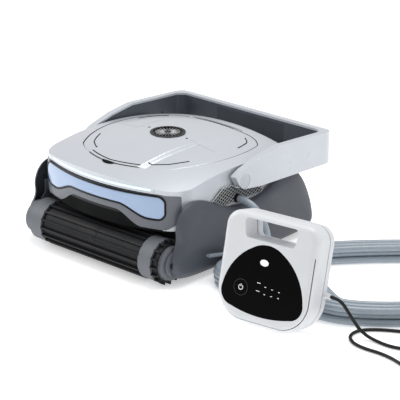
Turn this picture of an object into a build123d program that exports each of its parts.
from build123d import *

import math
import os

# A robotic pool cleaner with its power supply, float cable and mains lead, in millimetres.
# +Z is up, the cleaner's front looks along -Y and +X is to its right. The origin is on the
# floor, under the middle of the cleaner's overall box.

os.makedirs("parts", exist_ok=True)

# ---- Driving dimensions of the cleaner -------------------------------------------------
COVER_WIDTH = 396.0  # over the outer faces of the two side covers
COVER_DEPTH = 14.0  # how far a side cover stands off its frame plate
COVER_WALL = 2.5
FRAME_T = 3.0  # side frame plate
HANDLE_PROUD = 2.0
AXLE_SPAN = 350.0  # between the two roller axes
HULL_Y = -22.5  # middle of the hull, from the middle of the overall box
FLOOR_GAP = 12.0  # under the tray
HULL_WALL = 3.0
SHELL_BASE = 95.0  # joint between the tray and the upper shell
DOME_TOP = 207.5
DOME_R = 720.0

ROLLER_R = 42.0  # over the fins
DRUM_R = 33.0
AXLE_R = 5.0
AXLE_FIT = 0.06  # radial running clearance on the axles
PULLEY_R = 12.0
SPROCKET_R = 8.0
BELT_T = 2.0
BELT_W = 4.8
BELT_GAP = 0.3
SEAM_X = 12.0  # where the front roller is parted in two; the rear one is turned round
SEAM_GAP = 1.0

LID_T = 4.0
LEDGE_T = 3.5  # shell under the rim of the lid
LID_GAP = 0.8
LID_REACH_FRONT = 160.0  # lid's front edge, from the middle of the hull
LID_REACH_REAR = 130.0
LID_HALF = 153.0
LEDGE = 9.0
OUTLET_R = 31.0
PIVOT_R = 14.0
PIVOT_FIT = 0.06

# ---- Values that follow ----------------------------------------------------------------
cover_x = COVER_WIDTH / 2
frame_x = cover_x - COVER_DEPTH
hull_x = frame_x - FRAME_T
handle_x = cover_x + HANDLE_PROUD
front_y = HULL_Y - AXLE_SPAN / 2
rear_y = HULL_Y + AXLE_SPAN / 2
tray_front = front_y + ROLLER_R + 5
tray_rear = rear_y - ROLLER_R - 5
bezel_base = SHELL_BASE - HULL_WALL
roller_end = hull_x - 1.5
dome_z = DOME_TOP - DOME_R


def save(builder, name):
    """Label a finished piece and write it as parts/name.step."""
    builder.part.label = name
    export_step(builder.part, f"parts/{name}.step")


def dome_drop(radius):
    """Height that the dome loses at this distance from the middle of the hull."""
    return DOME_R - math.sqrt(DOME_R**2 - radius**2)


# ---- Outlines --------------------------------------------------------------------------
NOSE_HALF = 150.0  # half width of the bowed front
NOSE_REACH = 22.0  # bowed front ahead of the front axle, on the centre line
NOSE_BOW = 29.5  # how far the bowed front sweeps back at its ends
nose_y = front_y - NOSE_REACH
tail_y = rear_y - 4.5


def hull_outline():
    """Wire of the hull in plan, with a bowed front and softer rear corners."""
    nose_end = nose_y + NOSE_BOW
    side_front = nose_end + 42
    side_rear = tray_rear
    tail_end = tail_y - 7
    with BuildLine() as wire:
        ThreePointArc((-NOSE_HALF, nose_end), (0, nose_y), (NOSE_HALF, nose_end))
        for side in (1, -1):
            start = (side * NOSE_HALF, nose_end)
            mid = (side * (hull_x - 11), nose_end + 17)
            ThreePointArc(start, mid, (side * hull_x, side_front))
            Line((side * hull_x, side_front), (side * hull_x, side_rear))
            bend = (side * (hull_x - 10), (side_rear + tail_end) / 2 + 7)
            ThreePointArc((side * hull_x, side_rear), bend, (side * NOSE_HALF, tail_end))
        ThreePointArc((-NOSE_HALF, tail_end), (0, tail_y), (NOSE_HALF, tail_end))
    return wire.line


def lid_outline():
    """Wire of the lid in plan, rounder in front than behind."""
    front = HULL_Y - LID_REACH_FRONT
    rear = HULL_Y + LID_REACH_REAR
    with BuildLine() as wire:
        for side in (1, -1):
            ThreePointArc((0, front), (side * 63, front + 15), (side * 112, front + 45))
            corner = (side * 137, rear - 29)
            ThreePointArc((side * 112, front + 45), (side * LID_HALF, HULL_Y + 5), corner)
            ThreePointArc(corner, (side * 115, rear - 9), (side * 70, rear))
        Line((-70, rear), (70, rear))
    return wire.line


def cover_points(grow, front_grow):
    """Outline of a side cover seen from the side, grown from its outer face."""
    f, m, r, g, h = front_y, HULL_Y, rear_y, grow, front_grow
    return [
        (f + 4 - g, 11 - g),
        (f - 14 - h, 48),
        (f + 17 - 2 * g, 88),
        (f - 2 - 2 * g, 122),
        (f + 25 - g, 147 + g),
        (f + 38, 149 + g),
        (f + 64, 143 + g),
        (f + 91, 136 + g),
        (m - 16, 111.5 + g),
        (m + 46, 116 + g),
        (r - 58 + g, 130 + g),
        (r - 18 + 3 * g, 88 + g),
        (r + 12 + h, 38),
        (r - 2 + g, 9 - g),
        (f + 75, 7 - g),
    ]


# ---- Chassis tray ----------------------------------------------------------------------
INLET_W = 120.0
INLET_L = 26.0
INLET_FROM_MIDDLE = 82.5
BASKET_BASE = 62.0
SCREW_R = 1.5
SHAFT_R = 4.0
SHAFT_GAP = 0.6
DRIVE_Z = 85.0  # height of the drive motors' shafts
inlet_y = HULL_Y - INLET_FROM_MIDDLE
tray_length = tray_rear - tray_front
tray_mid = (tray_front + tray_rear) / 2
tray_floor = FLOOR_GAP + HULL_WALL
post_spots = [(x, y) for x in (-92, 92) for y in (tray_front + 18, tray_rear - 18)]
screw_spots = [(y, z) for y in (tray_front + 30, tray_rear - 26) for z in (20, 48)]

with BuildPart() as chassis_tray:
    with BuildSketch(Plane.XY.offset(FLOOR_GAP)):
        with Locations((0, tray_mid)):
            Rectangle(2 * hull_x, tray_length)
    extrude(amount=SHELL_BASE - FLOOR_GAP)
    with BuildSketch(Plane.XY.offset(tray_floor)):
        with Locations((0, tray_mid)):
            Rectangle(2 * (hull_x - HULL_WALL), tray_length - 2 * HULL_WALL)
    extrude(amount=SHELL_BASE - tray_floor, mode=Mode.SUBTRACT)
    with BuildSketch(Plane.XY.offset(FLOOR_GAP)):
        with Locations((0, inlet_y)):
            Rectangle(INLET_W + 4, INLET_L + 4)
        with Locations(post_spots):
            Circle(5)
    extrude(amount=BASKET_BASE - FLOOR_GAP)
    with BuildSketch(Plane.XY.offset(FLOOR_GAP)):
        with Locations((0, inlet_y)):
            Rectangle(INLET_W, INLET_L)
    extrude(amount=BASKET_BASE - FLOOR_GAP, mode=Mode.SUBTRACT)
    with BuildSketch(Plane.YZ.offset(-hull_x)):
        with Locations((HULL_Y, DRIVE_Z)):
            Circle(SHAFT_R + SHAFT_GAP)
        with Locations(screw_spots):
            Circle(SCREW_R)
    extrude(amount=2 * hull_x, mode=Mode.SUBTRACT)
    bottom_edges = chassis_tray.faces().sort_by(Axis.Z)[0].outer_wire().edges()
    chamfer(bottom_edges.filter_by(Axis.X), 6)
save(chassis_tray, "chassis_tray")

# ---- Side frame plates, axles, belts ---------------------------------------------------
NECK_R = 8.7
NECK_GAP = 0.6
AXLE_Z = ROLLER_R


def side_frame(side):
    """One frame plate, which carries an end of both rollers."""
    plane = Plane.YZ.offset(hull_x if side > 0 else -frame_x)
    with BuildPart() as plate:
        with BuildSketch(plane):
            with BuildLine():
                Polyline(
                    (front_y, 18),
                    (rear_y, 18),
                    (rear_y, 55),
                    (rear_y - 42, 108),
                    (front_y + 24, 108),
                    (front_y + 24, 84),
                    (front_y + 10, 68),
                    (front_y, 62),
                    close=True,
                )
            make_face()
            with Locations((front_y, AXLE_Z), (rear_y, AXLE_Z)):
                Circle(24)
            with Locations((front_y, AXLE_Z), (rear_y, AXLE_Z)):
                Circle(NECK_R + NECK_GAP, mode=Mode.SUBTRACT)
            with Locations((HULL_Y, DRIVE_Z)):
                Circle(SHAFT_R + SHAFT_GAP, mode=Mode.SUBTRACT)
            with Locations(screw_spots):
                Circle(SCREW_R, mode=Mode.SUBTRACT)
        extrude(amount=FRAME_T)
    return plate


for side, word in ((-1, "left"), (1, "right")):
    save(side_frame(side), f"side_frame_{word}")

BOSS_DEPTH = 4.0
axle_reach = cover_x - COVER_WALL - 0.5

with BuildPart() as roller_axles:
    with BuildSketch(Plane.YZ.offset(-axle_reach)):
        with Locations((front_y, AXLE_Z), (rear_y, AXLE_Z)):
            Circle(AXLE_R)
    extrude(amount=2 * axle_reach)
save(roller_axles, "roller_axles")

pulley_x = frame_x + 0.8
PULLEY_W = 5.0

with BuildPart() as drive_belts:
    for x in (pulley_x + 0.1, -pulley_x - 0.1 - BELT_W):
        for gap, mode in ((BELT_GAP + BELT_T, Mode.ADD), (BELT_GAP, Mode.SUBTRACT)):
            with BuildSketch(Plane.YZ.offset(x)):
                with BuildSketch(mode=Mode.PRIVATE) as loop:
                    with Locations((front_y, AXLE_Z), (rear_y, AXLE_Z)):
                        Circle(PULLEY_R + gap)
                    with Locations((HULL_Y, DRIVE_Z)):
                        Circle(SPROCKET_R + gap)
                    make_hull()
                add(loop.sketch)
            extrude(amount=BELT_W, mode=mode)
save(drive_belts, "drive_belts")

# ---- Roller halves ---------------------------------------------------------------------
BAND_R = 40.5
HUB_R = 31.5
FIN_T = 3.0
FINS = 16
SLEEVE_T = 3.0
WEB_T = 4.0
DRUM_WALL = 5.0
CORE_TUBE_T = 3.0  # tube round the axle inside the drum
DRAIN_R = 5.0
DRAINS = 6


def roller_core(axle_y, seam, end, drum_end, bands):
    """Drum, grey bands, end webs, neck and pulley of one roller half, from seam to end."""
    out = 1 if end > seam else -1
    bore = AXLE_R + AXLE_FIT
    with BuildPart() as core:
        for x0, x1, radius in [(seam, drum_end, DRUM_R), (drum_end, end, HUB_R)] + bands:
            if abs(x1 - x0) > 0.1:
                with BuildSketch(Plane.YZ.offset(min(x0, x1))):
                    with Locations((axle_y, AXLE_Z)):
                        Circle(radius)
                extrude(amount=abs(x1 - x0))
        inside = (seam + out * WEB_T, end - out * WEB_T)
        with BuildSketch(Plane.YZ.offset(min(inside))):
            with Locations((axle_y, AXLE_Z)):
                Circle(DRUM_R - DRUM_WALL)
                Circle(bore + CORE_TUBE_T, mode=Mode.SUBTRACT)
        extrude(amount=abs(inside[1] - inside[0]), mode=Mode.SUBTRACT)
        reach = out * (pulley_x + PULLEY_W)
        for x0, x1, radius in ((end, out * pulley_x, NECK_R), (out * pulley_x, reach, PULLEY_R)):
            with BuildSketch(Plane.YZ.offset(min(x0, x1))):
                with Locations((axle_y, AXLE_Z)):
                    Circle(radius)
            extrude(amount=abs(x1 - x0))
        with BuildSketch(Plane.YZ.offset(min(seam, reach))):
            with Locations((axle_y, AXLE_Z)):
                Circle(bore)
        extrude(amount=abs(reach - seam), mode=Mode.SUBTRACT)
        with BuildSketch(Plane.YZ.offset(min(seam, end))):
            with Locations((axle_y, AXLE_Z)):
                with PolarLocations((DRUM_R - DRUM_WALL + bore + CORE_TUBE_T) / 2, DRAINS):
                    Circle(DRAIN_R)
        extrude(amount=abs(end - seam), mode=Mode.SUBTRACT)
    return core


def roller_brush(axle_y, spans):
    """Finned rubber sleeves of one roller half, one for each span along X."""
    with BuildPart() as brush:
        for x0, x1 in spans:
            with BuildSketch(Plane.YZ.offset(min(x0, x1))):
                with Locations((axle_y, AXLE_Z)):
                    Circle(DRUM_R + SLEEVE_T)
                    with PolarLocations((DRUM_R + ROLLER_R) / 2, FINS):
                        Rectangle(ROLLER_R - DRUM_R, FIN_T)
                    Circle(DRUM_R, mode=Mode.SUBTRACT)
            extrude(amount=abs(x1 - x0))
    return brush


BAND_IN = 128.0  # where each half's grey band starts, from the middle
BAND_W = 31.0
HUB_W = 7.5
hub_start = roller_end - HUB_W
plain_seam = SEAM_X - SEAM_GAP / 2
split_seam = SEAM_X + SEAM_GAP / 2

# One half has fins on the inner side of its band only, the other on both sides.
for axle_y, turn, place in ((front_y, 1, "front"), (rear_y, -1, "rear")):
    plain_word, split_word = ("left", "right") if turn > 0 else ("right", "left")
    band_in, band_out = turn * BAND_IN, turn * (BAND_IN + BAND_W)
    plain_core = roller_core(
        axle_y,
        turn * plain_seam,
        -turn * roller_end,
        -band_out,
        [(-band_out, -band_in, BAND_R)],
    )
    split_core = roller_core(
        axle_y,
        turn * split_seam,
        turn * roller_end,
        turn * hub_start,
        [(band_in, band_out, BAND_R)],
    )
    save(plain_core, f"{place}_{plain_word}_roller_core")
    save(split_core, f"{place}_{split_word}_roller_core")
    plain_brush = roller_brush(axle_y, [(turn * plain_seam, -band_in)])
    split_brush = roller_brush(
        axle_y, [(turn * split_seam, band_in), (band_out, turn * hub_start)]
    )
    save(plain_brush, f"{place}_{plain_word}_roller_brush")
    save(split_brush, f"{place}_{split_word}_roller_brush")

MOTOR_R = 17.0
MOTOR_LENGTH = 62.0
SHAFT_FIT = 0.05
SHAFT_BORE = 30.0  # depth of the shaft's bore in its motor
SHAFT_IN = 26.0  # length of the shaft in that bore
motor_face = hull_x - HULL_WALL

with BuildPart() as drive_motors:
    for x in (motor_face - MOTOR_LENGTH, -motor_face):
        with BuildSketch(Plane.YZ.offset(x)):
            with Locations((HULL_Y, DRIVE_Z)):
                Circle(MOTOR_R)
        extrude(amount=MOTOR_LENGTH)
    for x in (motor_face - SHAFT_BORE, -motor_face):
        with BuildSketch(Plane.YZ.offset(x)):
            with Locations((HULL_Y, DRIVE_Z)):
                Circle(SHAFT_R + SHAFT_FIT)
        extrude(amount=SHAFT_BORE, mode=Mode.SUBTRACT)
save(drive_motors, "drive_motors")

for side, word in ((-1, "left"), (1, "right")):
    with BuildPart() as drive_sprocket:
        disc_x = pulley_x if side > 0 else -pulley_x - PULLEY_W
        with BuildSketch(Plane.YZ.offset(disc_x)):
            with Locations((HULL_Y, DRIVE_Z)):
                Circle(SPROCKET_R)
        extrude(amount=PULLEY_W)
        shaft_x = motor_face - SHAFT_IN if side > 0 else -pulley_x
        with BuildSketch(Plane.YZ.offset(shaft_x)):
            with Locations((HULL_Y, DRIVE_Z)):
                Circle(SHAFT_R)
        extrude(amount=pulley_x - motor_face + SHAFT_IN)
    save(drive_sprocket, f"drive_sprocket_{word}")

# ---- Side covers -----------------------------------------------------------------------
FRONT_SWEEP = 19.0  # how far the cover's foot reaches past its outer face, fore and aft
FOOT_GROW = 3.0


def side_cover(side):
    """Hollow cover over one belt drive, with a seat for each axle end."""
    with BuildPart() as cover:
        for x, grow, sweep in ((frame_x, FOOT_GROW, FRONT_SWEEP), (cover_x, 0, 0)):
            with BuildSketch(Plane.YZ.offset(x)):
                with BuildLine():
                    Polyline(*cover_points(grow, sweep), close=True)
                make_face()
        loft(ruled=True)
        with BuildPart(mode=Mode.PRIVATE) as cavity:
            lean = FRONT_SWEEP * COVER_WALL / COVER_DEPTH
            for x, grow, sweep in (
                (frame_x, FOOT_GROW, FRONT_SWEEP),
                (cover_x - COVER_WALL, 0.5, lean),
            ):
                with BuildSketch(Plane.YZ.offset(x)):
                    with BuildSketch(mode=Mode.PRIVATE) as full:
                        with BuildLine():
                            Polyline(*cover_points(grow, sweep), close=True)
                        make_face()
                        offset(amount=-COVER_WALL, kind=Kind.INTERSECTION)
                    add(full.sketch)
            loft(ruled=True)
        add(cavity.part, mode=Mode.SUBTRACT)
        with BuildSketch(Plane.YZ.offset(cover_x - COVER_WALL - BOSS_DEPTH)):
            with Locations((front_y, AXLE_Z), (rear_y, AXLE_Z)):
                Circle(AXLE_R + 2)
        extrude(amount=BOSS_DEPTH)
        with BuildSketch(Plane.YZ.offset(cover_x - COVER_WALL - BOSS_DEPTH)):
            with Locations((front_y, AXLE_Z), (rear_y, AXLE_Z)):
                Circle(AXLE_R)
        extrude(amount=BOSS_DEPTH - 0.3, mode=Mode.SUBTRACT)
        if side < 0:
            whole = cover.part
            mirror(whole, about=Plane.YZ, mode=Mode.REPLACE)
    return cover


for side, word in ((-1, "left"), (1, "right")):
    save(side_cover(side), f"side_cover_{word}")

# ---- Upper shell -----------------------------------------------------------------------
WINDOW_HALF = 147.5
BEZEL_TOP = 116.0
WINDOW_TOP = 163.0
PANEL_GAP = 0.3
BAR_HALF = 132.0
BAR_BASE = 166.0
BAR_H = 6.0
BAR_T = 2.0
EXIT_Y = HULL_Y - 10
EXIT_Z = 124.5
GLAND_R = 8.0
HINGE_BACK = 134.5  # lid's hinge axis, behind the middle of the hull
HINGE_Z = 191.5
HINGE_PIN_R = 2.0
HINGE_FIT = 0.06
KNUCKLE_R = 5.0
KNUCKLE_HALF = 60.0
BAY_HALF = 14.0
BAY_LIP = 1.0  # roof left under the lid's front edge, where the latch hooks
hinge_y = HULL_Y + HINGE_BACK
lid_front = HULL_Y - LID_REACH_FRONT
roof_t = LID_T + LEDGE_T


def hull_band(low, high, depth, y_from, y_to, half):
    """Part of a wall that follows the hull's outline, depth thick."""
    with BuildPart() as band:
        with BuildSketch(Plane.XY.offset(low)):
            with BuildSketch(mode=Mode.PRIVATE) as ring:
                add(hull_outline())
                make_face()
                offset(amount=-depth, kind=Kind.INTERSECTION, mode=Mode.SUBTRACT)
            add(ring.sketch)
            with Locations((0, (y_from + y_to) / 2)):
                Rectangle(2 * half, y_to - y_from, mode=Mode.INTERSECT)
        extrude(amount=high - low)
    return band


def dome_solid(base, thickness, outline_shift):
    """Hull outline shrunk by outline_shift, from base up to the dome lowered by thickness."""
    with BuildPart() as dome:
        with BuildSketch(Plane.XY.offset(base)):
            with BuildSketch(mode=Mode.PRIVATE) as plan:
                add(hull_outline())
                make_face()
                if outline_shift:
                    offset(amount=-outline_shift, kind=Kind.INTERSECTION)
            add(plan.sketch)
        extrude(amount=DOME_TOP + 5 - base)
        with Locations((0, HULL_Y, dome_z)):
            Sphere(DOME_R - thickness, mode=Mode.INTERSECT)
    return dome.part


def lid_prism(base, top, grow):
    """Lid outline grown by grow, from base to top."""
    with BuildPart() as prism:
        with BuildSketch(Plane.XY.offset(base)):
            with BuildSketch(mode=Mode.PRIVATE) as plan:
                add(lid_outline())
                make_face()
                if grow:
                    offset(amount=grow)
            add(plan.sketch)
        extrude(amount=top - base)
    return prism


with BuildPart(mode=Mode.PRIVATE) as recess:
    add(lid_prism(150, DOME_TOP + 6, LID_GAP).part)
    with Locations((0, HULL_Y, dome_z)):
        Sphere(DOME_R - LID_T, mode=Mode.SUBTRACT)

with BuildPart() as upper_shell:
    add(dome_solid(SHELL_BASE, 0, 0))
    add(dome_solid(SHELL_BASE, roof_t, HULL_WALL), mode=Mode.SUBTRACT)
    add(recess.part, mode=Mode.SUBTRACT)
    add(lid_prism(150, DOME_TOP + 6, -LEDGE).part, mode=Mode.SUBTRACT)
    with Locations((0, nose_y + 15, SHELL_BASE)):
        Box(
            2 * WINDOW_HALF,
            50,
            WINDOW_TOP - SHELL_BASE,
            align=(Align.CENTER, Align.CENTER, Align.MIN),
            mode=Mode.SUBTRACT,
        )
    with Locations((0, tail_y, SHELL_BASE)):
        Box(
            2 * WINDOW_HALF,
            30,
            BEZEL_TOP - SHELL_BASE,
            align=(Align.CENTER, Align.CENTER, Align.MIN),
            mode=Mode.SUBTRACT,
        )
    bar_groove = hull_band(BAR_BASE, BAR_BASE + BAR_H, BAR_T, nose_y - 1, nose_y + 40, BAR_HALF)
    add(bar_groove.part, mode=Mode.SUBTRACT)
    with Locations((0, hinge_y, HINGE_Z)):
        Cylinder(HINGE_PIN_R, 2 * KNUCKLE_HALF + 14, rotation=(0, 90, 0), mode=Mode.SUBTRACT)
    with Locations((0, hinge_y - 1.5, HINGE_Z)):
        Box(2 * KNUCKLE_HALF + 2, 2 * KNUCKLE_R + 5, 30, mode=Mode.SUBTRACT)
    with Locations((0, lid_front + BAY_LIP + 6, DOME_TOP - 30)):
        Box(2 * BAY_HALF, 12, 50, mode=Mode.SUBTRACT)
    with Locations((hull_x, EXIT_Y, EXIT_Z)):
        Cylinder(GLAND_R, 12, rotation=(0, 90, 0), mode=Mode.SUBTRACT)
save(upper_shell, "upper_shell")


def bezel(y_from, y_to, name):
    """Band under the shell's end, with the floor plate that closes the hull there."""
    half = WINDOW_HALF - PANEL_GAP
    with BuildPart() as part:
        add(hull_band(SHELL_BASE, BEZEL_TOP, HULL_WALL, y_from, y_to, half).part)
        with BuildSketch(Plane.XY.offset(bezel_base)):
            with BuildSketch(mode=Mode.PRIVATE) as plan:
                add(hull_outline())
                make_face()
            add(plan.sketch)
            with Locations((0, (y_from + y_to) / 2)):
                Rectangle(2 * hull_x, y_to - y_from, mode=Mode.INTERSECT)
        extrude(amount=SHELL_BASE - bezel_base)
    save(part, name)


bezel(nose_y - 1, tray_front, "front_bezel")
bezel(tray_rear, tail_y + 1, "rear_bezel")

window_half = WINDOW_HALF - PANEL_GAP
front_window = hull_band(
    BEZEL_TOP, WINDOW_TOP, HULL_WALL, nose_y - 1, nose_y + 40, window_half
)
save(front_window, "front_window")
light_bar = hull_band(BAR_BASE, BAR_BASE + BAR_H, BAR_T, nose_y - 1, nose_y + 40, BAR_HALF)
save(light_bar, "light_bar")

# ---- Side grilles, pivots, gland and screws --------------------------------------------
grille_points = [(-81, 128), (-51, 151), (-10, 151), (41, 134), (62, 131), (60, 119), (-78, 119)]

with BuildPart() as side_grilles:
    for x in (hull_x, -frame_x):
        with BuildSketch(Plane.YZ.offset(x)):
            with BuildLine():
                Polyline(*[(HULL_Y + y, z) for y, z in grille_points], close=True)
            make_face()
            if x > 0:
                with Locations((EXIT_Y, EXIT_Z)):
                    Circle(GLAND_R, mode=Mode.SUBTRACT)
        extrude(amount=FRAME_T)
save(side_grilles, "side_grilles")

CORD_D = 13.0  # float cable
GLAND_REACH = 6.0
FLANGE_R = 9.0
FLANGE_T = 1.6

with BuildPart() as cable_gland:
    with BuildSketch(Plane.YZ.offset(hull_x - 12)):
        with Locations((EXIT_Y, EXIT_Z)):
            Circle(GLAND_R)
    extrude(amount=12 + FRAME_T + GLAND_REACH)
    with BuildSketch(Plane.YZ.offset(frame_x)):
        with Locations((EXIT_Y, EXIT_Z)):
            Circle(FLANGE_R)
    extrude(amount=FLANGE_T)
save(cable_gland, "cable_gland")

PIVOT_Y = HULL_Y - 5
PIVOT_Z = 159.0
PIVOT_NECK_R = 7.5
ARM_T = 14.0
arm_in = handle_x - ARM_T

with BuildPart() as handle_pivots:
    for x0, x1, radius in (
        (hull_x, frame_x, PIVOT_NECK_R),
        (frame_x, arm_in - 0.5, PIVOT_R + 2),
        (arm_in - 0.5, handle_x - 0.5, PIVOT_R),
    ):
        with BuildSketch(Plane.YZ.offset(x0)):
            with Locations((PIVOT_Y, PIVOT_Z)):
                Circle(radius)
        extrude(amount=x1 - x0)
    right_pivot = handle_pivots.part
    mirror(right_pivot, about=Plane.YZ)
save(handle_pivots, "handle_pivots")

with BuildPart() as frame_screws:
    for y, z in screw_spots:
        for x0, length, radius in ((motor_face, HULL_WALL + FRAME_T, SCREW_R), (frame_x, 1.8, 3)):
            with BuildSketch(Plane.YZ.offset(x0)):
                with Locations((y, z)):
                    Circle(radius)
            extrude(amount=length)
    right_screws = frame_screws.part
    mirror(right_screws, about=Plane.YZ)
save(frame_screws, "frame_screws")

# ---- Pump pod, pump motor and impeller -------------------------------------------------
POD_R = 31.0
POD_BORE = 28.5
POD_TOP = 196.4
POD_CAP = 150.0
POD_CAP_T = 4.0
PUMP_R = 22.0
IMPELLER_R = 26.0
IMPELLER_Z = 178.0
IMPELLER_H = 16.0
PUMP_SHAFT_R = 3.0
PUMP_SHAFT_GAP = 0.4
PORTS = 6  # outlets from the impeller's chamber
PORT_W = 20.0
PORT_H = 20.0
PORT_DEPTH = 12.0
PORT_RISE = 2.0  # above the pod's cap
PUMP_SEAT_Z = 92.0  # underside of the pump motor's flange
PUMP_SEAT_T = 5.0
PUMP_H = 45.0
PUMP_BORE_Z = 112.0
PUMP_SHAFT_Z = 114.0
HUB_CORE_R = 8.0
BLADES = 5
BLADE_T = 2.4
BLADE_TURN = 20.0

with BuildPart() as pump_pod:
    with BuildSketch(Plane.XY.offset(tray_floor)):
        with Locations((0, HULL_Y)):
            Circle(POD_R)
    extrude(amount=POD_TOP - tray_floor)
    for low, high in ((tray_floor, POD_CAP - POD_CAP_T), (POD_CAP, POD_TOP)):
        with BuildSketch(Plane.XY.offset(low)):
            with Locations((0, HULL_Y)):
                Circle(POD_BORE)
        extrude(amount=high - low, mode=Mode.SUBTRACT)
    with BuildSketch(Plane.XY.offset(POD_CAP - POD_CAP_T)):
        with Locations((0, HULL_Y)):
            Circle(PUMP_SHAFT_R + PUMP_SHAFT_GAP)
    extrude(amount=POD_CAP_T, mode=Mode.SUBTRACT)
    with BuildSketch(Plane.XY.offset(POD_CAP + PORT_RISE)):
        with Locations((0, HULL_Y)):
            with PolarLocations(POD_R, PORTS):
                Rectangle(PORT_DEPTH, PORT_W)
    extrude(amount=PORT_H, mode=Mode.SUBTRACT)
save(pump_pod, "pump_pod")

pump_base = PUMP_SEAT_Z + PUMP_SEAT_T
pump_top = pump_base + PUMP_H

with BuildPart() as pump_motor:
    for low, high, radius in (
        (PUMP_SEAT_Z, pump_base, POD_BORE),
        (pump_base, pump_top, PUMP_R),
    ):
        with BuildSketch(Plane.XY.offset(low)):
            with Locations((0, HULL_Y)):
                Circle(radius)
        extrude(amount=high - low)
    with BuildSketch(Plane.XY.offset(PUMP_BORE_Z)):
        with Locations((0, HULL_Y)):
            Circle(PUMP_SHAFT_R + SHAFT_FIT)
    extrude(amount=pump_top - PUMP_BORE_Z, mode=Mode.SUBTRACT)
save(pump_motor, "pump_motor")

with BuildPart() as impeller:
    for low, high, radius in (
        (PUMP_SHAFT_Z, IMPELLER_Z, PUMP_SHAFT_R),
        (IMPELLER_Z, IMPELLER_Z + IMPELLER_H, HUB_CORE_R),
    ):
        with BuildSketch(Plane.XY.offset(low)):
            with Locations((0, HULL_Y)):
                Circle(radius)
        extrude(amount=high - low)
    with BuildSketch(Plane.XY.offset(IMPELLER_Z)):
        with Locations((0, HULL_Y)):
            with PolarLocations((IMPELLER_R + HUB_CORE_R - 1) / 2, BLADES):
                Rectangle(IMPELLER_R - HUB_CORE_R + 1, BLADE_T, rotation=BLADE_TURN)
    extrude(amount=IMPELLER_H - 2)
save(impeller, "impeller")

# ---- Filter basket, its mesh and the inlet flap ----------------------------------------
BASKET_HALF = 104.0
BASKET_TOP = 176.0
BASKET_WALL = 2.0
WELL_GAP = 2.0
MESH_T = 0.8
FLAP_T = 2.0
FLAP_PIN_R = 1.5
FLAP_FIT = 0.05
basket_front = tray_front + 10
basket_rear = tray_rear - 10
basket_mid = (basket_front + basket_rear) / 2
basket_length = basket_rear - basket_front
flap_hinge_y = inlet_y + INLET_L / 2 + 4
flap_hinge_z = BASKET_BASE + BASKET_WALL + 3
window_z = (BASKET_BASE + BASKET_TOP) / 2
PANE_H = 76.0
pane_side = basket_length - 60


def basket_panes(thickness, mode):
    """Window openings or mesh panes in the four walls of the basket."""
    for y in (basket_front + BASKET_WALL / 2, basket_rear - BASKET_WALL / 2):
        with Locations((0, y, window_z)):
            Box(150, thickness, PANE_H, mode=mode)
    for x in (-1, 1):
        with Locations((x * (BASKET_HALF - BASKET_WALL / 2), basket_mid, window_z)):
            Box(thickness, pane_side, PANE_H, mode=mode)


with BuildPart() as filter_basket:
    with BuildSketch(Plane.XY.offset(BASKET_BASE)):
        with Locations((0, basket_mid)):
            RectangleRounded(2 * BASKET_HALF, basket_length, 14)
    extrude(amount=BASKET_TOP - BASKET_BASE)
    with BuildSketch(Plane.XY.offset(BASKET_BASE + BASKET_WALL)):
        with Locations((0, basket_mid)):
            inner_half = BASKET_HALF - BASKET_WALL
            RectangleRounded(2 * inner_half, basket_length - 2 * BASKET_WALL, 12)
        with Locations((0, HULL_Y)):
            Circle(POD_R + WELL_GAP + BASKET_WALL, mode=Mode.SUBTRACT)
    extrude(amount=BASKET_TOP - BASKET_BASE, mode=Mode.SUBTRACT)
    with BuildSketch(Plane.XY.offset(BASKET_BASE)):
        with Locations((0, HULL_Y)):
            Circle(POD_R + WELL_GAP)
        with Locations((0, inlet_y)):
            Rectangle(INLET_W, INLET_L)
    extrude(amount=BASKET_TOP - BASKET_BASE, mode=Mode.SUBTRACT)
    with Locations((0, HULL_Y, POD_CAP + 12)):
        Cylinder(POD_R + 6, 36, mode=Mode.SUBTRACT)
    basket_panes(BASKET_WALL, Mode.SUBTRACT)
    for x in (-1, 1):
        with BuildSketch(Plane.YZ.offset(x * (INLET_W / 2 + 6) - 1.5)):
            with Locations((flap_hinge_y, flap_hinge_z - 1)):
                Rectangle(6, 6)
            with Locations((flap_hinge_y, flap_hinge_z)):
                Circle(FLAP_PIN_R + FLAP_FIT, mode=Mode.SUBTRACT)
        extrude(amount=3)
save(filter_basket, "filter_basket")

with BuildPart() as filter_mesh:
    basket_panes(MESH_T, Mode.ADD)
save(filter_mesh, "filter_mesh")

with BuildPart() as inlet_flap:
    flap_low = BASKET_BASE + BASKET_WALL + 0.2
    with BuildSketch(Plane.XY.offset(flap_low)):
        with Locations((0, inlet_y)):
            Rectangle(INLET_W + 4, INLET_L + 3)
        with Locations((0, flap_hinge_y - 2)):
            Rectangle(INLET_W + 4, 4)
    extrude(amount=FLAP_T)
    with BuildSketch(Plane.YZ.offset(-INLET_W / 2 - 2)):
        with Locations((flap_hinge_y, flap_hinge_z)):
            Circle(2.6)
    extrude(amount=INLET_W + 4)
    with BuildSketch(Plane.YZ.offset(-INLET_W / 2 - 8)):
        with Locations((flap_hinge_y, flap_hinge_z)):
            Circle(FLAP_PIN_R)
    extrude(amount=INLET_W + 16)
save(inlet_flap, "inlet_flap")

# ---- Lid -------------------------------------------------------------------------------
NOTCH_R = 12.0
LATCH_HALF = 9.0
LATCH_TRAVEL = 4.0
RAIL_GAP = 0.3
RAIL_T = 2.0
latch_roof = DOME_TOP - dome_drop(LID_REACH_FRONT + 8) - roof_t
tongue_top = latch_roof - 0.8
TONGUE_T = 4.0
tongue_half = LATCH_HALF + 1
TONGUE_HOOK = 3.0
hook_y = lid_front + BAY_LIP

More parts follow.
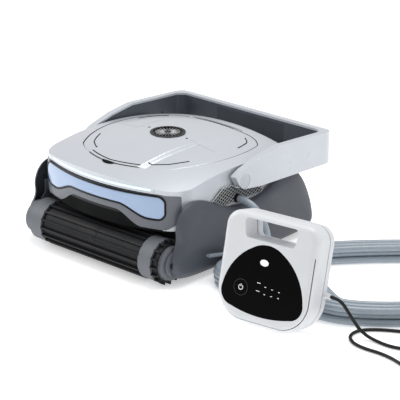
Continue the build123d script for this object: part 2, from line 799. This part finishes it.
with BuildPart() as lid_panel:
    add(lid_prism(150, DOME_TOP + 6, 0).part)
    with Locations((0, HULL_Y, dome_z)):
        Sphere(DOME_R, mode=Mode.INTERSECT)
        Sphere(DOME_R - LID_T, mode=Mode.SUBTRACT)
    with Locations((0, hinge_y, HINGE_Z)):
        Cylinder(KNUCKLE_R - 0.6, 2 * KNUCKLE_HALF, rotation=(0, 90, 0))
    with Locations((0, hinge_y - 3, HINGE_Z + LID_T / 2)):
        Box(2 * KNUCKLE_HALF, 6, LID_T)
    with Locations((0, hinge_y, HINGE_Z)):
        Cylinder(
            HINGE_PIN_R + HINGE_FIT,
            2 * KNUCKLE_HALF + 4,
            rotation=(0, 90, 0),
            mode=Mode.SUBTRACT,
        )
    with Locations((0, HULL_Y, DOME_TOP)):
        Cylinder(OUTLET_R, 30, mode=Mode.SUBTRACT)
    rail_x = tongue_half + RAIL_GAP + RAIL_T / 2
    for x in (-rail_x, rail_x):
        with Locations((x, hook_y + 12, tongue_top - TONGUE_T + 5.5)):
            Box(RAIL_T, 20, 11)
    with Locations((0, lid_front)):
        Cylinder(NOTCH_R, 500, mode=Mode.SUBTRACT)
save(lid_panel, "lid_panel")

with BuildPart() as lid_latch:
    paddle_low = tongue_top + 2.5
    with BuildSketch(Plane.XY.offset(paddle_low)):
        with Locations((0, hook_y + 3)):
            Rectangle(2 * (LATCH_HALF - 1.5), 5)
    extrude(amount=LID_T)
    with BuildSketch(Plane.XY.offset(tongue_top - 1)):
        with Locations((0, hook_y + 3)):
            Rectangle(8, 5)
    extrude(amount=paddle_low - tongue_top + 1.5)
    with BuildSketch(Plane.XY.offset(tongue_top - TONGUE_T)):
        with Locations((0, hook_y + 3)):
            Rectangle(2 * tongue_half, 2 * (TONGUE_HOOK + 3))
    extrude(amount=TONGUE_T)
save(lid_latch, "lid_latch")

RING_BORE = 28.5
outlet_dome = DOME_TOP - dome_drop(OUTLET_R)

with BuildPart() as outlet_ring:
    seal_top = POD_TOP + 2
    with BuildSketch(Plane.XY.offset(seal_top)):
        with Locations((0, HULL_Y)):
            Circle(OUTLET_R)
    extrude(amount=outlet_dome + 2 - seal_top)
    with BuildSketch(Plane.XY.offset(outlet_dome)):
        with Locations((0, HULL_Y)):
            Circle(OUTLET_R + 3)
    extrude(amount=2)
    with BuildSketch(Plane.XY.offset(seal_top)):
        with Locations((0, HULL_Y)):
            Circle(RING_BORE)
    extrude(amount=30, mode=Mode.SUBTRACT)
save(outlet_ring, "outlet_ring")

with BuildPart() as lid_seal:
    with BuildSketch(Plane.XY.offset(POD_TOP + 0.2)):
        with Locations((0, HULL_Y)):
            Circle(OUTLET_R)
            Circle(RING_BORE + 0.3, mode=Mode.SUBTRACT)
    extrude(amount=1.8)
save(lid_seal, "lid_seal")

with BuildPart() as outlet_grille:
    with BuildSketch(Plane.XY.offset(outlet_dome - 2)):
        with Locations((0, HULL_Y)):
            Circle(RING_BORE)
            Circle(RING_BORE - 2, mode=Mode.SUBTRACT)
            Circle(17)
            Circle(15.4, mode=Mode.SUBTRACT)
            Circle(7)
            with PolarLocations((RING_BORE + 6) / 2, 24):
                Rectangle(RING_BORE - 6, 1.4)
    extrude(amount=2.6)
    with BuildSketch(Plane.XY.offset(outlet_dome - 2)):
        with Locations((0, HULL_Y)):
            Circle(RING_BORE)
    extrude(amount=3, mode=Mode.INTERSECT)
save(outlet_grille, "outlet_grille")

with BuildPart() as lid_hinge_pin:
    with Locations((0, hinge_y, HINGE_Z)):
        Cylinder(HINGE_PIN_R, 2 * KNUCKLE_HALF + 14, rotation=(0, 90, 0))
save(lid_hinge_pin, "lid_hinge_pin")

# ---- Handle ----------------------------------------------------------------------------
SHELL_T = 6.0  # light outer shell of the handle
HANDLE_REACH = 262.0  # back of the crossbar, behind the middle of the hull
CROSSBAR_T = 26.0
BAR_CORNER = 34.0
GRIP_HALF = 88.0
GRIP_T = 5.0
crossbar_back = HULL_Y + HANDLE_REACH
crossbar_in = crossbar_back - CROSSBAR_T


def handle_profile(inset):
    """Arm and crossbar outline seen from the side, inset from its edge."""
    m, k = HULL_Y, inset
    return [
        (m - 30 + k, 172),
        (m - 20 + k, 154 + k),
        (m - 5, 144 + k),
        (m + 38, 138.5 + k),
        (m + 115, 136 + k),
        (crossbar_back - k, 131 + k),
        (crossbar_back - k, 190 - k),
        (crossbar_back - 12 - k, 194 - k),
        (m + 93, 203 - k),
        (m + 37, 195 - k),
        (m - 12, 181 - k),
    ]


def handle_block(inset, half, back):
    """Solid with the handle's side profile, half wide each way, ending at back."""
    with BuildPart() as block:
        with BuildSketch(Plane.YZ.offset(-half)):
            with BuildLine():
                Polyline(*handle_profile(inset), close=True)
            make_face()
        extrude(amount=2 * half)
        with BuildSketch(Plane.XY.offset(100)):
            with Locations((0, (back + HULL_Y - 60) / 2)):
                Rectangle(2 * half, back - HULL_Y + 60)
            tail_corners = vertices().group_by(Axis.Y)[-1]
            fillet(tail_corners, BAR_CORNER - (handle_x - half))
        extrude(amount=150, mode=Mode.INTERSECT)
    return block.part


HANDLE_SCREW_R = 2.0
handle_screw_spots = [(HULL_Y + 62, 168), (HULL_Y + 178, 164)]

with BuildPart(mode=Mode.PRIVATE) as handle_inside:
    with BuildSketch(Plane.XY.offset(100)):
        with Locations((0, (crossbar_in + HULL_Y - 80) / 2)):
            Rectangle(2 * arm_in, crossbar_in - HULL_Y + 80)
        fillet(vertices().group_by(Axis.Y)[-1], BAR_CORNER - ARM_T)
    extrude(amount=150)

with BuildPart(mode=Mode.PRIVATE) as pivot_bores:
    with Locations((0, PIVOT_Y, PIVOT_Z)):
        Cylinder(PIVOT_R + PIVOT_FIT, 2 * handle_x + 10, rotation=(0, 90, 0))

with BuildPart(mode=Mode.PRIVATE) as liner_block:
    add(handle_block(4, handle_x - SHELL_T, crossbar_back - SHELL_T))

with BuildPart(mode=Mode.PRIVATE) as grip_block:
    with Locations((0, crossbar_in + GRIP_T / 2, 163)):
        Box(2 * GRIP_HALF, GRIP_T, 44)

with BuildPart(mode=Mode.PRIVATE) as handle_screw_shanks:
    for y, z in handle_screw_spots:
        with Locations((0, y, z)):
            Cylinder(HANDLE_SCREW_R, 2 * (handle_x - 3), rotation=(0, 90, 0))

with BuildPart() as handle_shell:
    add(handle_block(0, handle_x, crossbar_back))
    add(handle_inside.part, mode=Mode.SUBTRACT)
    add(liner_block.part, mode=Mode.SUBTRACT)
    add(pivot_bores.part, mode=Mode.SUBTRACT)
    add(handle_screw_shanks.part, mode=Mode.SUBTRACT)
save(handle_shell, "handle_shell")

with BuildPart() as handle_liner:
    add(liner_block.part)
    add(handle_inside.part, mode=Mode.SUBTRACT)
    add(pivot_bores.part, mode=Mode.SUBTRACT)
    add(handle_screw_shanks.part, mode=Mode.SUBTRACT)
    add(grip_block.part, mode=Mode.SUBTRACT)
save(handle_liner, "handle_liner")

with BuildPart() as handle_grip:
    add(grip_block.part)
save(handle_grip, "handle_grip")

with BuildPart() as handle_screws:
    add(handle_screw_shanks.part)
    with Locations((0, HULL_Y + 100, 160)):
        Box(2 * arm_in, 400, 200, mode=Mode.SUBTRACT)
save(handle_screws, "handle_screws")

# ---- Power supply ----------------------------------------------------------------------
SUPPLY_X = 419.0
SUPPLY_Y = -243.5
SUPPLY_Z = 8.0  # front foot of the case's outline above the floor, before it is cut flat
SUPPLY_YAW = 7.0
SUPPLY_LEAN = 14.0
CASE_W = 190.0
CASE_H = 189.0
CASE_T = 56.0
CASE_WALL = 3.0
FRONT_T = 38.0
GASKET_T = 2.0
CORNER_LOW = 58.0
CORNER_TOP = 28.0
FACE_ROUND = 12.0
GRIP_LOW = 146.0
GRIP_TOP = 180.0
GRIP_TOP_HALF = 56.0
GRIP_LOW_HALF = 49.0
GLASS_T = 1.6
FOOT_T = 2.5
CAVITY_TOP = 138.0

yaw, tilt = math.radians(SUPPLY_YAW), math.radians(SUPPLY_LEAN)
supply_out = (
    math.sin(yaw) * math.cos(tilt),
    -math.cos(yaw) * math.cos(tilt),
    math.sin(tilt),
)
supply_face = Plane(
    origin=(SUPPLY_X, SUPPLY_Y, SUPPLY_Z),
    x_dir=(math.cos(yaw), math.sin(yaw), 0),
    z_dir=supply_out,
)
supply_axis = Axis(supply_face.origin, supply_face.z_dir)


def case_block(inset, near, far):
    """Case outline shrunk by inset, between two depths behind the front face."""
    half, low = CASE_W / 2 - inset, inset
    with BuildPart() as block:
        with BuildSketch(supply_face.offset(-far)):
            with Locations((0, (low + CASE_H - inset) / 2)):
                Rectangle(2 * half, CASE_H - 2 * inset)
            fillet(vertices().group_by(Axis.Y)[0], CORNER_LOW - inset)
            fillet(vertices().group_by(Axis.Y)[-1], CORNER_TOP - inset)
        extrude(amount=far - near)
    return block.part


def grip_hole(grow):
    """Prism of the grip opening, right through the case."""
    with BuildPart() as hole:
        with BuildSketch(supply_face.offset(-CASE_T - 10)):
            with BuildLine():
                Polyline(
                    (-GRIP_LOW_HALF - grow, GRIP_LOW - grow),
                    (GRIP_LOW_HALF + grow, GRIP_LOW - grow),
                    (GRIP_TOP_HALF + grow, GRIP_TOP + grow),
                    (-GRIP_TOP_HALF - grow, GRIP_TOP + grow),
                    close=True,
                )
            make_face()
            fillet(vertices(), 8)
        extrude(amount=CASE_T + 20)
    return hole.part


def cavity(near, far):
    """Room inside the case below the grip, kept off the flat foot."""
    with BuildPart() as room:
        add(case_block(CASE_WALL, near, far))
        with BuildSketch(supply_face.offset(-CASE_T)):
            with Locations((0, CAVITY_TOP / 2)):
                Rectangle(CASE_W, CAVITY_TOP)
        extrude(amount=CASE_T, mode=Mode.INTERSECT)
        split(bisect_by=Plane.XY.offset(FOOT_T + CASE_WALL), keep=Keep.TOP)
    return room.part


def glass_outline():
    """Rounded triangle of the touch panel, in the plane of the supply's face."""
    with BuildLine() as wire:
        ThreePointArc((-60, 24), (0, 16), (60, 24))
        for side in (1, -1):
            ThreePointArc((side * 60, 24), (side * 79, 36), (side * 82, 57))
            ThreePointArc((side * 82, 57), (side * 63, 103), (side * 30, 132))
        ThreePointArc((-30, 132), (0, 141), (30, 132))
    return wire.line


def face_prism(wire_maker, near, far):
    """Prism of an outline drawn on the supply's face, between two depths."""
    with BuildPart() as prism:
        with BuildSketch(supply_face.offset(-far)):
            with BuildSketch(mode=Mode.PRIVATE) as plan:
                add(wire_maker())
                make_face()
            add(plan.sketch)
        extrude(amount=far - near)
    return prism.part


def rod_at(spot, near, far, radius):
    """Round solid square to the supply's face, at a spot on it, between two depths."""
    with BuildPart() as rod:
        with BuildSketch(supply_face.offset(-far)):
            with Locations(spot):
                Circle(radius)
        extrude(amount=far - near)
    return rod.part


BOARD_DEPTH = 20.0
BOARD_T = 1.6
SOCKET_SPOT = (-55, 78)
SOCKET_R = 10.0
SOCKET_IN = 8.0
SOCKET_OUT = 5.0
board_posts = [(x, y) for x in (-46, 46) for y in (48, 112)]
LEAD_D = 6.0  # mains lead
LEAD_HEIGHT = 73.0
LEAD_DEPTH = 47.0
NIPPLE_R = 6.0
NIPPLE_LENGTH = 12.0
back_near = FRONT_T + GASKET_T

with BuildPart() as supply_front_case:
    add(case_block(0, 0, FRONT_T))
    face_edges = supply_front_case.faces().sort_by(supply_axis)[-1].outer_wire().edges()
    fillet(face_edges, FACE_ROUND)
    add(cavity(CASE_WALL, FRONT_T), mode=Mode.SUBTRACT)
    add(grip_hole(0), mode=Mode.SUBTRACT)
    add(face_prism(glass_outline, -1, GLASS_T), mode=Mode.SUBTRACT)
    for spot in board_posts:
        add(rod_at(spot, CASE_WALL - 1, BOARD_DEPTH, 3))
    split(bisect_by=Plane.XY.offset(FOOT_T), keep=Keep.TOP)
save(supply_front_case, "supply_front_case")

with BuildPart() as supply_glass:
    add(face_prism(glass_outline, 0, GLASS_T))
save(supply_glass, "supply_glass")

with BuildPart() as supply_gasket:
    add(case_block(1, FRONT_T, back_near))
    add(cavity(FRONT_T, back_near), mode=Mode.SUBTRACT)
    add(grip_hole(1), mode=Mode.SUBTRACT)
    split(bisect_by=Plane.XY.offset(FOOT_T), keep=Keep.TOP)
save(supply_gasket, "supply_gasket")

lead_plane = Plane(
    origin=supply_face.origin,
    x_dir=-supply_face.z_dir,
    z_dir=supply_face.x_dir,
)
lead_spot = (LEAD_DEPTH, LEAD_HEIGHT)

with BuildPart(mode=Mode.PRIVATE) as lead_hole:
    with BuildSketch(lead_plane.offset(CASE_W / 2 - 12)):
        with Locations(lead_spot):
            Circle(NIPPLE_R - 1)
    extrude(amount=20)

with BuildPart() as supply_back_case:
    add(case_block(0, back_near, CASE_T))
    back_edges = supply_back_case.faces().sort_by(supply_axis)[0].outer_wire().edges()
    chamfer(back_edges, 4)
    add(cavity(back_near, CASE_T - CASE_WALL), mode=Mode.SUBTRACT)
    add(grip_hole(0), mode=Mode.SUBTRACT)
    add(rod_at(SOCKET_SPOT, CASE_T - SOCKET_IN, CASE_T + 5, SOCKET_R), mode=Mode.SUBTRACT)
    add(lead_hole.part, mode=Mode.SUBTRACT)
    split(bisect_by=Plane.XY.offset(FOOT_T), keep=Keep.TOP)
save(supply_back_case, "supply_back_case")

with BuildPart() as supply_board:
    with BuildSketch(supply_face.offset(-BOARD_DEPTH - BOARD_T)):
        with Locations((0, 80)):
            Rectangle(112, 84)
    extrude(amount=BOARD_T)
save(supply_board, "supply_board")

with BuildPart() as supply_socket:
    add(rod_at(SOCKET_SPOT, CASE_T - SOCKET_IN, CASE_T + SOCKET_OUT, SOCKET_R))
    add(rod_at(SOCKET_SPOT, CASE_T - 2, CASE_T + SOCKET_OUT, SOCKET_R - 3), mode=Mode.SUBTRACT)
save(supply_socket, "supply_socket")

with BuildPart() as lead_nipple:
    with BuildSketch(lead_plane.offset(CASE_W / 2 - 8)):
        with Locations(lead_spot):
            Circle(NIPPLE_R - 1)
    extrude(amount=8)
    with BuildSketch(lead_plane.offset(CASE_W / 2)):
        with Locations(lead_spot):
            Circle(NIPPLE_R)
    with BuildSketch(lead_plane.offset(CASE_W / 2 + NIPPLE_LENGTH)):
        with Locations(lead_spot):
            Circle(LEAD_D / 2 + 0.8)
    loft()
save(lead_nipple, "lead_nipple")

# The flat foot lies where the case is cut level, from the cut's front edge to the back.
foot_front = (SUPPLY_Z - FOOT_T) / math.sin(tilt)

with BuildPart() as supply_feet:
    for x in (-26, 26):
        with BuildSketch(Plane.XY):
            with BuildLine():
                corners = [(x - 9, foot_front + 4), (x + 9, foot_front + 4)]
                corners += [(x + 9, CASE_T - 7), (x - 9, CASE_T - 7)]
                Polyline(
                    *[
                        (
                            SUPPLY_X + u * math.cos(yaw) - v * math.sin(yaw),
                            SUPPLY_Y + u * math.sin(yaw) + v * math.cos(yaw),
                        )
                        for u, v in corners
                    ],
                    close=True,
                )
            make_face()
        extrude(amount=FOOT_T)
save(supply_feet, "supply_feet")

# ---- Float cable -----------------------------------------------------------------------
CONNECTOR_R = 11.0
CONNECTOR_LENGTH = 30.0
TURNS = 8
COIL_W = 40.0
COIL_H = 36.0

# Middle line of the big loose coil: a closed run of bends, in plan.
coil_bends = [(224, -165), (380, -121), (522, -130), (690, 72), (700, 278), (480, 268), (224, -23)]


def bend_curve(bends, shift, steps=6):
    """Smooth closed curve that rounds each bend, moved outwards by shift."""
    count = len(bends)
    points = []
    for i in range(count):
        (ax, ay), (bx, by), (cx, cy) = bends[i - 1], bends[i], bends[(i + 1) % count]
        start = ((ax + bx) / 2, (ay + by) / 2)
        end = ((bx + cx) / 2, (by + cy) / 2)
        for k in range(steps):
            t = k / steps
            x = (1 - t) ** 2 * start[0] + 2 * t * (1 - t) * bx + t**2 * end[0]
            y = (1 - t) ** 2 * start[1] + 2 * t * (1 - t) * by + t**2 * end[1]
            dx = (1 - t) * (bx - start[0]) + t * (end[0] - bx)
            dy = (1 - t) * (by - start[1]) + t * (end[1] - by)
            size = math.hypot(dx, dy)
            points.append((x + shift * dy / size, y - shift * dx / size))
    return points


# Tie round the coil's near end, with its free tail on top.
TIE_Y = -84.0
TIE_W = 12.0
TIE_T = 2.0
TIE_TAIL = 62.0
coil_left = coil_bends[0][0]

with BuildPart() as coil_tie:
    with Locations((coil_left, TIE_Y, COIL_H / 2 + TIE_T / 2)):
        Box(COIL_W + 2 * TIE_T, TIE_W, COIL_H + TIE_T)
        Box(COIL_W - 1, TIE_W, COIL_H - TIE_T, mode=Mode.SUBTRACT)
    tail_plane = Plane(origin=(coil_left - 8, TIE_Y, COIL_H), x_dir=(1, 0, 0), z_dir=(0, -1, 0.2))
    with BuildSketch(tail_plane):
        with Locations((0, 3)):
            RectangleRounded(10, 5, 2)
    extrude(amount=TIE_TAIL)
save(coil_tie, "coil_tie")

with BuildPart() as float_coil:
    for shift, mode in ((COIL_W / 2, Mode.ADD), (-COIL_W / 2, Mode.SUBTRACT)):
        with BuildSketch(Plane.XY):
            with BuildLine():
                Spline(*bend_curve(coil_bends, shift), periodic=True)
            make_face()
        extrude(amount=COIL_H, mode=mode)
    add(coil_tie.part, mode=Mode.SUBTRACT)
save(float_coil, "float_coil")

cable_exit = (frame_x + GLAND_REACH, EXIT_Y, EXIT_Z)
cable_points = [
    cable_exit,
    (cable_exit[0] + 23, EXIT_Y, EXIT_Z),
    (235, -30, 110),
    (247, -25, 85),
    (249.5, -19, 58),
    (247, -14, 33),
]
connector_end = CASE_T + SOCKET_OUT + CONNECTOR_LENGTH
tail_points = [
    tuple(supply_face.from_local_coords((*SOCKET_SPOT, -connector_end))),
    tuple(supply_face.from_local_coords((*SOCKET_SPOT, -connector_end - 24))),
    (355, -97, 50.5),
    (375, -80.5, 46),
    (401, -77, 42.5),
    (428, -84, 39.5),
    (454, -95.5, 36.5),
    (481, -107, 32.5),
]


def rounded_path(points):
    """Straight runs joined by the widest arcs that fit them, and the arcs' radii."""
    radii = []
    for a, b, c in zip(points, points[1:], points[2:]):
        into, out = Vector(b) - Vector(a), Vector(c) - Vector(b)
        half_turn = math.radians(into.get_angle(out)) / 2
        radii.append(0.45 * min(into.length, out.length) / math.tan(half_turn))
    return FilletPolyline(*points, radius=radii), radii


def cord_tube(routes, diameter, name):
    """Plain tube along each free stretch of a cord, with its radii and volume printed."""
    length = 0
    with BuildPart() as tube:
        for points in routes:
            with BuildLine() as route:
                radii = rounded_path(points)[1]
            with BuildSketch(Plane(origin=route.wire() @ 0, z_dir=route.wire() % 0)):
                Circle(diameter / 2)
            sweep(path=route.wire())
            length += route.wire().length
            print(name, "length", round(route.wire().length), "radii", [round(r) for r in radii])
    section = math.pi * diameter**2 / 4
    print(name, "volume", round(tube.part.volume), "of", round(section * length))
    save(tube, name)


cord_tube([cable_points, tail_points], CORD_D, "float_cable")

with BuildPart() as cable_connector:
    near = CASE_T + SOCKET_OUT
    add(rod_at(SOCKET_SPOT, near, near + CONNECTOR_LENGTH, CONNECTOR_R))
    add(rod_at(SOCKET_SPOT, CASE_T - 1, near, SOCKET_R - 3.4))
save(cable_connector, "cable_connector")

# ---- Mains lead ------------------------------------------------------------------------
lead_start = lead_plane.from_local_coords((*lead_spot, CASE_W / 2 + NIPPLE_LENGTH))
print("lead leaves the supply at", lead_start, "and the connector ends at", tail_points[0])
FLOOR_Z = LEAD_D / 2
lead_points = [
    tuple(lead_start),
    tuple(lead_plane.from_local_coords((*lead_spot, CASE_W / 2 + NIPPLE_LENGTH + 12))),
    (541.5, -163.5, 60),
    (551, -161, 46),
    (559, -156, 31),
    (567, -149.5, 16),
    (580, -144.5, 6),
    (599, -144, FLOOR_Z),
    (625, -146, FLOOR_Z),
    (650, -139, FLOOR_Z),
    (667, -119, FLOOR_Z),
    (666, -92, FLOOR_Z),
    (646, -73, FLOOR_Z),
    (619, -78, FLOOR_Z),
    (592, -92, FLOOR_Z),
    (566, -110, FLOOR_Z),
    (549, -131, FLOOR_Z),
    (551, -158, FLOOR_Z),
    (573, -177, FLOOR_Z),
    (602, -181, FLOOR_Z),
    (634, -177, FLOOR_Z),
    (668, -182, FLOOR_Z),
    (703, -196, FLOOR_Z),
]
LEAD_COIL_R = 34.0
LEAD_COIL_W = 18.0
LEAD_COIL_H = 12.0
lead_coil_spot = (762, -190)
cord_tube([lead_points], LEAD_D, "mains_lead")

with BuildPart() as mains_tie:
    with Locations((lead_coil_spot[0], lead_coil_spot[1] + LEAD_COIL_R, LEAD_COIL_H / 2 + 0.5)):
        Box(6, LEAD_COIL_W + 2, LEAD_COIL_H + 1)
        Box(6, LEAD_COIL_W - 1, LEAD_COIL_H - 1, mode=Mode.SUBTRACT)
save(mains_tie, "mains_tie")

with BuildPart() as mains_coil:
    with BuildSketch(Plane.XY):
        with Locations(lead_coil_spot):
            Circle(LEAD_COIL_R + LEAD_COIL_W / 2)
            Circle(LEAD_COIL_R - LEAD_COIL_W / 2, mode=Mode.SUBTRACT)
    extrude(amount=LEAD_COIL_H)
    add(mains_tie.part, mode=Mode.SUBTRACT)
save(mains_coil, "mains_coil")

PLUG_L = 26.0
RELIEF_L = 20.0
PLUG_Z = 9.0
plug_turn = math.radians(-12)
plug_plane = Plane(
    origin=(lead_coil_spot[0] + 24, lead_coil_spot[1] - 33, PLUG_Z),
    x_dir=(0, 0, 1),
    z_dir=(math.cos(plug_turn), math.sin(plug_turn), 0),
)

with BuildPart() as mains_plug:
    with BuildSketch(plug_plane):
        Circle(LEAD_D / 2 + 0.6)
    with BuildSketch(plug_plane.offset(RELIEF_L)):
        Circle(LEAD_D / 2 + 2)
    loft()
    with BuildSketch(plug_plane.offset(RELIEF_L)):
        RectangleRounded(16, 24, 5)
    extrude(amount=PLUG_L)
save(mains_plug, "mains_plug")

with BuildPart() as plug_pins:
    with BuildSketch(plug_plane.offset(RELIEF_L + PLUG_L)):
        with Locations((0, -6.35), (0, 6.35)):
            Rectangle(6.3, 1.5)
    extrude(amount=16)
save(plug_pins, "plug_pins")
